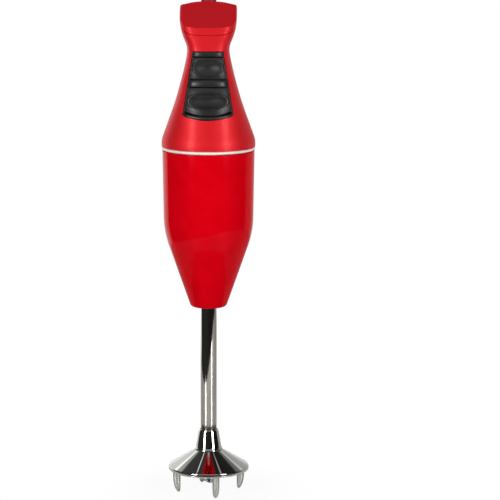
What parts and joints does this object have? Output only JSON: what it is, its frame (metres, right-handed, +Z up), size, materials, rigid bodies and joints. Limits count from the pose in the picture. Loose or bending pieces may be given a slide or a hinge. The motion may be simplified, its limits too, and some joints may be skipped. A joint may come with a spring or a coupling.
{
  "type": "immersion blender",
  "caption": "Corded immersion blender with a tapered two-tone red body, two finger keys, a steel shaft and a footed bell over its blade.",
  "frame": {"origin": "on the floor under the drive axis, between the tips of the four feet", "axes": "+Z up along the drive axis, -Y towards the side with the two keys, +X to the right seen from that side"},
  "size_m": [0.0642, 0.0642, 0.3424],
  "materials": {
    "gloss_red": "glossy moulded plastic, saturated red",
    "satin_red": "satin lacquered red with a fine metallic fleck",
    "cream_seal": "satin cream plastic",
    "black_plastic": "satin black plastic with a fine grain",
    "polished_chrome": "polished and plated",
    "stainless_tube": "polished stainless steel",
    "blade_steel": "pressed and ground stainless steel",
    "steel": "bright steel",
    "lamination_steel": "stacked grey electrical steel sheet",
    "copper": "enamelled copper wire",
    "sintered_bronze": "oil-filled sintered bronze",
    "brass": "bright brass",
    "die_cast_aluminium": "die-cast, matt",
    "grey_nylon": "dark grey glass-filled nylon",
    "white_nylon": "natural nylon",
    "carbon": "pressed carbon",
    "black_rubber": "black seal rubber",
    "red_rubber": "matt red rubber",
    "board_green": "coated circuit board",
    "capacitor_yellow": "dipped epoxy",
    "lead_insulation": "soft wire insulation"
  },
  "bodies": {
    "housing": {"upper_housing": "satin_red", "label_lid": "satin_red", "cord_gland": "red_rubber", "seal_ring": "cream_seal", "lower_housing": "gloss_red", "switch_frame": "black_plastic", "button_spring_upper": "steel", "button_spring_lower": "steel", "microswitch_upper": "black_plastic", "microswitch_lower": "black_plastic", "control_board": "board_green", "board_screw_left": "steel", "board_screw_right": "steel", "suppression_capacitor": "capacitor_yellow", "rectifier_diode": "black_plastic", "terminal_block": "white_nylon", "motor_lead_left": "lead_insulation", "motor_lead_right": "lead_insulation", "shaft_tube": "stainless_tube", "tube_socket": "die_cast_aluminium", "bell_collar": "polished_chrome", "bell_guard": "polished_chrome", "shaft_seal": "black_rubber", "lower_shaft_bush": "sintered_bronze", "upper_shaft_bush": "sintered_bronze", "stator_core": "lamination_steel", "field_coil_left": "copper", "field_coil_right": "copper", "motor_lower_bracket": "die_cast_aluminium", "motor_upper_bracket": "grey_nylon", "lower_motor_bush": "sintered_bronze", "upper_motor_bush": "sintered_bronze", "brush_holder_left": "brass", "brush_holder_right": "brass", "carbon_brush_left": "carbon", "carbon_brush_right": "carbon", "brush_spring_left": "steel", "brush_spring_right": "steel", "motor_bolt_left": "steel", "motor_bolt_right": "steel"},
    "rotor": {"motor_shaft": "steel", "armature_core": "lamination_steel", "armature_winding_lower": "copper", "armature_winding_upper": "copper", "commutator": "copper", "shaft_coupling": "brass", "drive_shaft": "stainless_tube", "drive_pin": "steel"},
    "blade": {"blade_hub": "blade_steel", "blade_wing_lower": "blade_steel", "blade_wing_upper": "blade_steel"},
    "upper_button": {"button_upper": "black_plastic", "plunger_upper": "white_nylon"},
    "lower_button": {"button_lower": "black_plastic", "plunger_lower": "white_nylon"}
  },
  "joints": [
    {"name": "rotor_spin", "type": "hinge", "parent": "housing", "child": "rotor", "pos_m": [0, 0, 0.2], "axis": [0, 0, 1], "continuous": true},
    {"name": "blade_pull", "type": "slide", "parent": "rotor", "child": "blade", "axis": [0, 0, -1], "range_m": [0, 0.018]},
    {"name": "upper_button_press", "type": "slide", "parent": "housing", "child": "upper_button", "axis": [0, 1, 0], "range_m": [0, 0.0015], "stiffness_N_per_m": 800, "deforming": ["button_spring_upper"]},
    {"name": "lower_button_press", "type": "slide", "parent": "housing", "child": "lower_button", "axis": [0, 1, 0], "range_m": [0, 0.0015], "stiffness_N_per_m": 800, "deforming": ["button_spring_lower"]}
  ]
}
